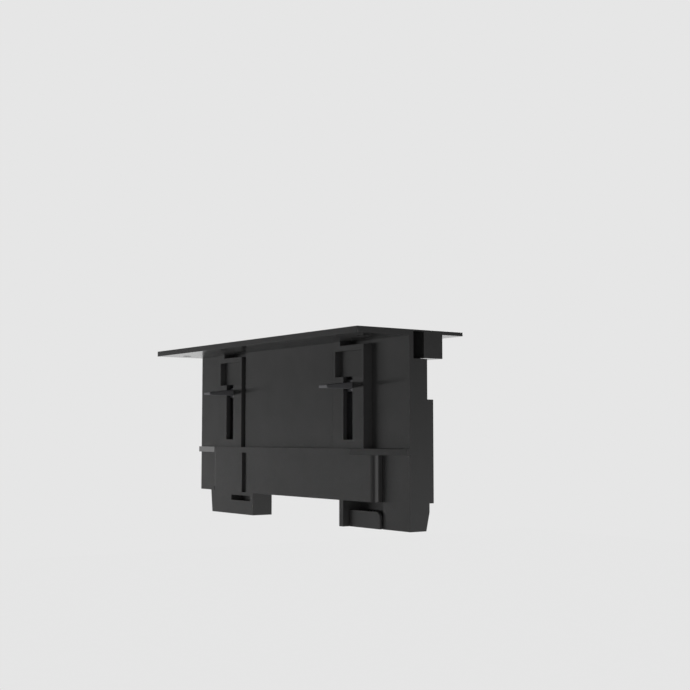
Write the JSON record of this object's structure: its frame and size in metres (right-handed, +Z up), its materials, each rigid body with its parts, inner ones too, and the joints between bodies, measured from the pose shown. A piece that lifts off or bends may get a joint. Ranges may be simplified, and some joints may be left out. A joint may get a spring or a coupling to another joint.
{
  "type": "furniture socket box",
  "caption": "Flat black socket box that hangs from a flange under a worktop, with sliding fixing claws, a wiring cover with latch foot and dished sockets at the back.",
  "frame": {"origin": "middle of the flange's top face, which lies against the worktop", "axes": "+X along the width to the right of the claw side, +Y to the socket side at the back, +Z up"},
  "size_m": [0.18, 0.0666, 0.0844],
  "materials": {
    "black_moulding": "fine matt",
    "black_insert": "satin",
    "inner_moulding": "matt",
    "brass_strip": "rolled",
    "blackened_steel": "blackened",
    "spring_steel": "drawn",
    "soft_rubber": "matt"
  },
  "bodies": {
    "housing": {"mounting_flange": "black_moulding", "front_shell": "black_moulding", "rear_shell": "black_moulding", "lower_cover": "black_moulding", "hook_foot": "black_moulding", "latch_foot": "black_moulding", "left_socket": "black_insert", "right_socket": "black_insert", "contact_carrier": "inner_moulding", "terminal_block": "inner_moulding", "cable_clamp": "inner_moulding", "live_busbar": "brass_strip", "neutral_busbar": "brass_strip", "earth_strap": "brass_strip", "left_guide_plate": "blackened_steel", "right_guide_plate": "blackened_steel", "shell_screws": "blackened_steel", "flange_screws": "blackened_steel", "clamp_screws": "spring_steel", "terminal_screws": "spring_steel", "latch_pin": "spring_steel", "latch_spring": "spring_steel", "left_shutter_spring": "spring_steel", "right_shutter_spring": "spring_steel", "cable_grommet": "soft_rubber"},
    "cover_latch": {"cover_latch": "black_moulding"},
    "left_claw": {"left_claw": "blackened_steel"},
    "left_shutter": {"left_shutter": "black_insert"},
    "right_claw": {"right_claw": "blackened_steel"},
    "right_shutter": {"right_shutter": "black_insert"}
  },
  "joints": [
    {"name": "left_claw_slide", "type": "slide", "parent": "housing", "child": "left_claw", "axis": [0, 0, 1], "range_m": [-0.022, 0.001]},
    {"name": "right_claw_slide", "type": "slide", "parent": "housing", "child": "right_claw", "axis": [0, 0, 1], "range_m": [-0.022, 0.001]},
    {"name": "left_shutter_slide", "type": "slide", "parent": "housing", "child": "left_shutter", "axis": [1, 0, 0], "range_m": [0, 0.0062], "stiffness_N_per_m": 30, "springref_m": -0.002, "deforming": ["left_shutter_spring"]},
    {"name": "right_shutter_slide", "type": "slide", "parent": "housing", "child": "right_shutter", "axis": [1, 0, 0], "range_m": [0, 0.0062], "stiffness_N_per_m": 30, "springref_m": -0.002, "deforming": ["right_shutter_spring"]},
    {"name": "cover_latch_hinge", "type": "hinge", "parent": "housing", "child": "cover_latch", "pos_m": [0.06, 0.00095, -0.0822], "axis": [-1, 0, 0], "range_deg": [0, 10], "stiffness_Nm_per_rad": 0.005, "springref_deg": -5.73, "deforming": ["latch_spring"]}
  ]
}
